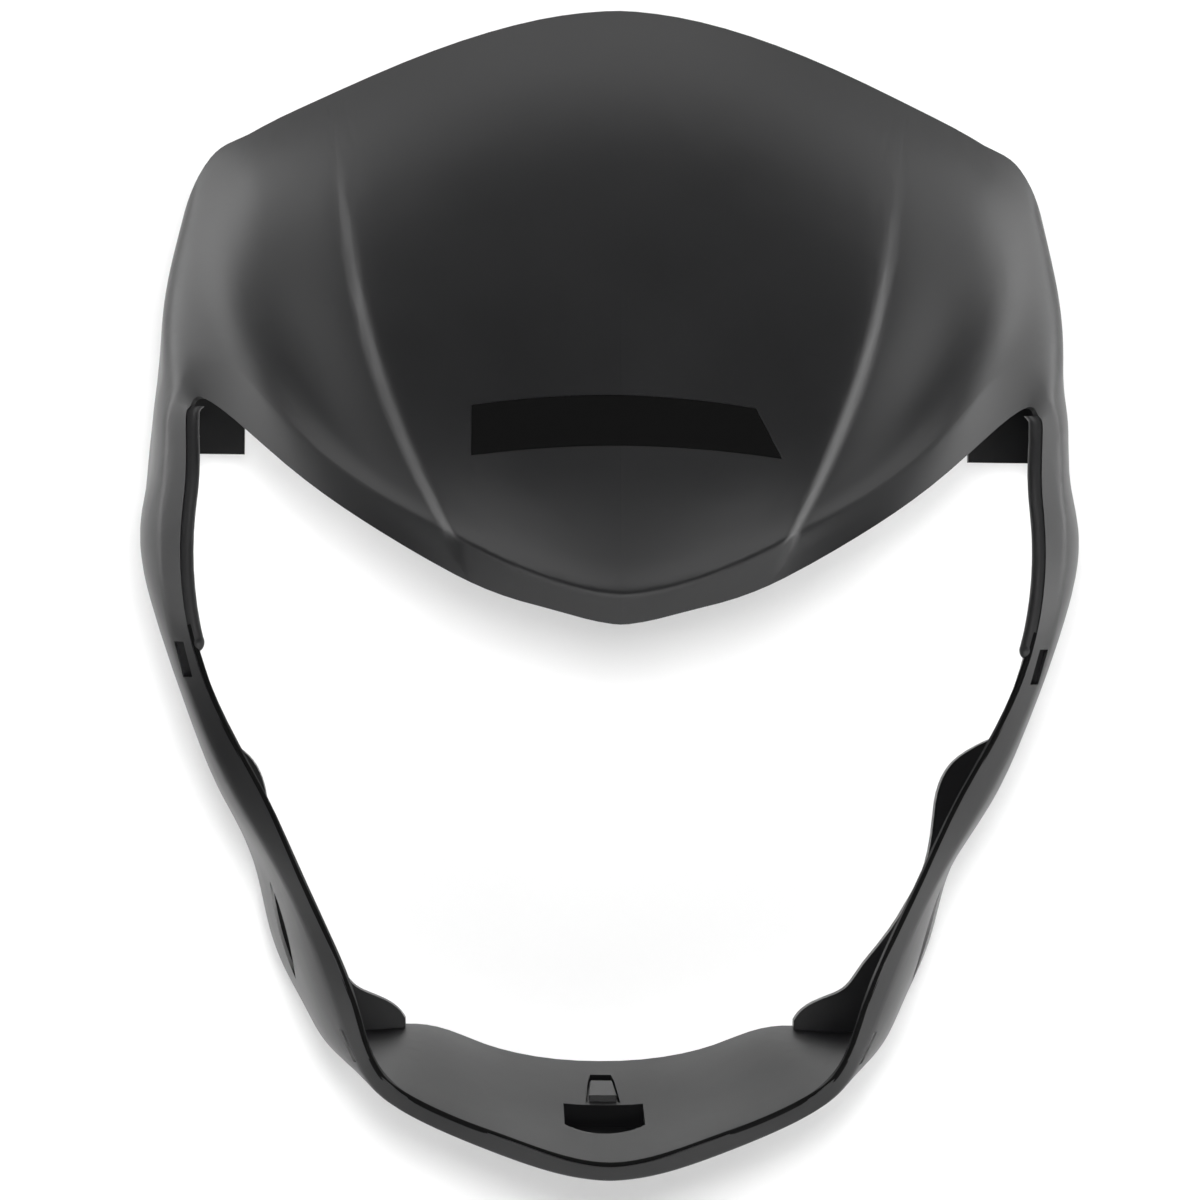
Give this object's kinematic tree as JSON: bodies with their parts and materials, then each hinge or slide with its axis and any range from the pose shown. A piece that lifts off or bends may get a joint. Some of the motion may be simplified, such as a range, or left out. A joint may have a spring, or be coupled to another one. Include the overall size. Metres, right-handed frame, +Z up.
{
  "type": "motorbike headlight fairing",
  "caption": "Moulded headlight fairing for a small motorbike: a visor with a raised beak above an open ring with side arms, vented cheeks, a lower lip and screw ears.",
  "frame": {"origin": "midway between the two ear screw holes, on the rear face of the mounting flange", "axes": "+X across the motorbike, -Y forwards, so a front view looks along +Y, and +Z up as the fairing hangs on the motorbike"},
  "size_m": [0.3126, 0.1474, 0.3785],
  "materials": {
    "satin_abs": "satin moulded black",
    "strip_black": "plain black film"
  },
  "bodies": {
    "root": {"fairing_shell": "satin_abs", "badge_strip": "strip_black"}
  },
  "joints": []
}
